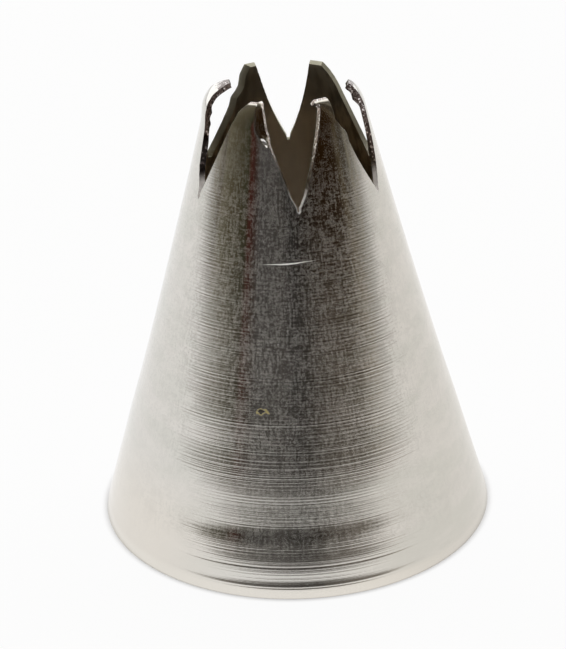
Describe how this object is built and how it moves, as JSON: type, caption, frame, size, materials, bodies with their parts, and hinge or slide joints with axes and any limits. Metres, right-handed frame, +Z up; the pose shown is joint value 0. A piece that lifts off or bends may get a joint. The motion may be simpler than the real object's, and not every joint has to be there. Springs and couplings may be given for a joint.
{
  "type": "piping nozzle",
  "caption": "Open star piping nozzle: a thin steel cone whose small end is notched into pointed teeth, so that icing pressed through it comes out as a ridged star.",
  "frame": {"origin": "centre of the wide rim, in the plane that the nozzle stands on", "axes": "+Z up the axis from the wide rim to the teeth, -Y towards the front notch"},
  "size_m": [0.032, 0.032, 0.0364],
  "materials": {
    "polished_steel": "spun and polished stainless steel with fine turned lines round the cone"
  },
  "bodies": {
    "root": {"star_nozzle": "polished_steel"}
  },
  "joints": []
}
